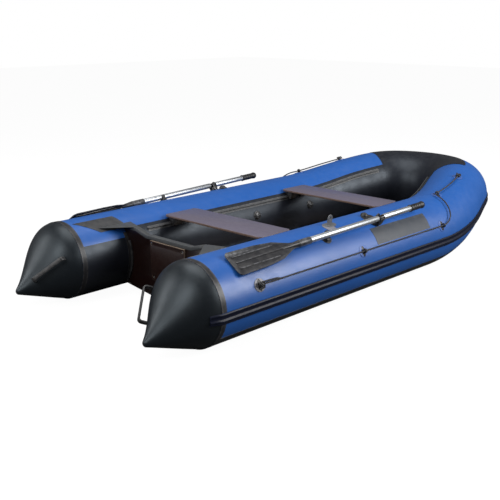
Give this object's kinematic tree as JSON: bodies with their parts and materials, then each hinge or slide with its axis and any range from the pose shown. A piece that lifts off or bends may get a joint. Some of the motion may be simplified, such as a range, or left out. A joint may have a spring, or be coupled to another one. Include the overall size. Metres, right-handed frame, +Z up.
{
  "type": "inflatable dinghy",
  "caption": "Inflatable dinghy with a U-shaped air tube, tapered stern cones, hard floor, wooden transom and seats, oars in swivel locks and a grab line.",
  "frame": {"origin": "middle of the hull's overall length and beam, on the plane that its bottom rests on", "axes": "+X towards the bow, +Y to port, +Z up"},
  "size_m": [3.3174, 1.4798, 0.531],
  "materials": {
    "blue_pvc": "satin coated fabric",
    "dark_pvc": "satin coated fabric",
    "floor_ply": "sealed plywood",
    "aluminium": "clear anodised",
    "strake_rubber": "satin",
    "grey_pvc": "satin coated fabric",
    "patch_dark": "satin coated fabric",
    "transom_ply": "varnished plywood",
    "black_rubber": "satin",
    "steel": "polished stainless",
    "black_plastic": "moulded",
    "track_grey": "satin",
    "tab_grey": "moulded",
    "seat_ply": "painted plywood",
    "rope": "braided"
  },
  "bodies": {
    "hull": {"port_chamber": "blue_pvc", "starboard_chamber": "blue_pvc", "bow_chamber": "blue_pvc", "baffles": "dark_pvc", "port_cone": "dark_pvc", "starboard_cone": "dark_pvc", "cone_seam_tapes": "dark_pvc", "port_inner_wall": "dark_pvc", "starboard_inner_wall": "dark_pvc", "bow_cover": "dark_pvc", "bottom_wrap_port": "dark_pvc", "bottom_wrap_starboard": "dark_pvc", "bottom_wrap_bow": "dark_pvc", "bottom_sheet": "dark_pvc", "keel_chamber": "dark_pvc", "floorboards": "floor_ply", "floor_stringers": "aluminium", "floor_joiners": "aluminium", "strake_port": "strake_rubber", "strake_starboard": "strake_rubber", "strake_bow": "strake_rubber", "patch_starboard": "grey_pvc", "stern_patches": "patch_dark", "transom_board": "transom_ply", "transom_cap": "grey_pvc", "transom_holders": "black_rubber", "transom_gussets": "grey_pvc", "motor_pads": "transom_ply", "pad_screws": "steel", "drain_valve": "black_plastic", "seat_tracks": "track_grey", "oarlock_bases": "black_plastic", "oar_clips": "black_plastic", "rope_rings": "black_plastic", "grab_line_port": "rope", "grab_line_starboard": "rope", "valve_bodies": "black_plastic", "tab_mount": "tab_grey", "stern_handles": "black_rubber", "bow_handle": "black_rubber", "tow_ring_patch": "black_rubber"},
    "seat_rear": {"seat_rear": "seat_ply", "seat_rear_slides": "black_plastic"},
    "seat_front": {"seat_front": "seat_ply", "seat_front_slides": "black_plastic"},
    "fork_port": {"fork_port": "black_plastic"},
    "fork_starboard": {"fork_starboard": "black_plastic"},
    "oar_port": {"oar_joint_port": "black_plastic", "oar_shafts_port": "aluminium", "oar_grip_port": "black_plastic", "oar_blade_port": "black_plastic"},
    "oar_starboard": {"oar_joint_starboard": "black_plastic", "oar_shafts_starboard": "aluminium", "oar_grip_starboard": "black_plastic", "oar_blade_starboard": "black_plastic"},
    "valve_cap_port": {"valve_cap_port": "black_plastic"},
    "valve_cap_starboard": {"valve_cap_starboard": "black_plastic"},
    "valve_cap_bow": {"valve_cap_bow": "black_plastic"},
    "drain_plug": {"drain_plug": "black_plastic"},
    "tow_ring": {"tow_ring": "steel"}
  },
  "joints": [
    {"name": "seat_rear_slide", "type": "slide", "parent": "hull", "child": "seat_rear", "axis": [1, 0, 0], "range_m": [-0.14, 0.4]},
    {"name": "seat_front_slide", "type": "slide", "parent": "hull", "child": "seat_front", "axis": [1, 0, 0], "range_m": [-0.25, 0.01]},
    {"name": "oar_port_swivel", "type": "hinge", "parent": "hull", "child": "fork_port", "pos_m": [-0.11216, 0.6356, 0.38682], "axis": [0, -0.5505, -0.8349], "range_deg": [0, 125]},
    {"name": "oar_port_tilt", "type": "hinge", "parent": "fork_port", "child": "oar_port", "pos_m": [-0.11216, 0.66092, 0.42522], "axis": [0, 0.8349, -0.5505], "range_deg": [0, 5]},
    {"name": "oar_starboard_swivel", "type": "hinge", "parent": "hull", "child": "fork_starboard", "pos_m": [-0.11216, -0.6356, 0.38682], "axis": [0, -0.5505, 0.8349], "range_deg": [0, 125]},
    {"name": "oar_starboard_tilt", "type": "hinge", "parent": "fork_starboard", "child": "oar_starboard", "pos_m": [-0.11216, -0.66092, 0.42522], "axis": [0, 0.8349, 0.5505], "range_deg": [0, 5]},
    {"name": "valve_cap_port_turn", "type": "hinge", "parent": "hull", "child": "valve_cap_port", "pos_m": [-0.05116, 0.31814, 0.26938], "axis": [0, -0.9613, 0.2756], "range_deg": [0, 120]},
    {"name": "valve_cap_starboard_turn", "type": "hinge", "parent": "hull", "child": "valve_cap_starboard", "pos_m": [-0.05116, -0.31814, 0.26938], "axis": [0, 0.9613, 0.2756], "range_deg": [0, 120]},
    {"name": "valve_cap_bow_turn", "type": "hinge", "parent": "hull", "child": "valve_cap_bow", "pos_m": [0.46284, 0.31538, 0.25874], "axis": [0, -0.9744, 0.2249], "range_deg": [0, 120]},
    {"name": "drain_plug_turn", "type": "hinge", "parent": "hull", "child": "drain_plug", "pos_m": [-1.06216, -0.2, 0.086], "axis": [-1, 0, 0], "range_deg": [0, 180]},
    {"name": "tow_ring_swing", "type": "hinge", "parent": "hull", "child": "tow_ring", "pos_m": [1.62762, 0, 0.2008], "axis": [0, 1, 0], "range_deg": [-120, 25]}
  ]
}
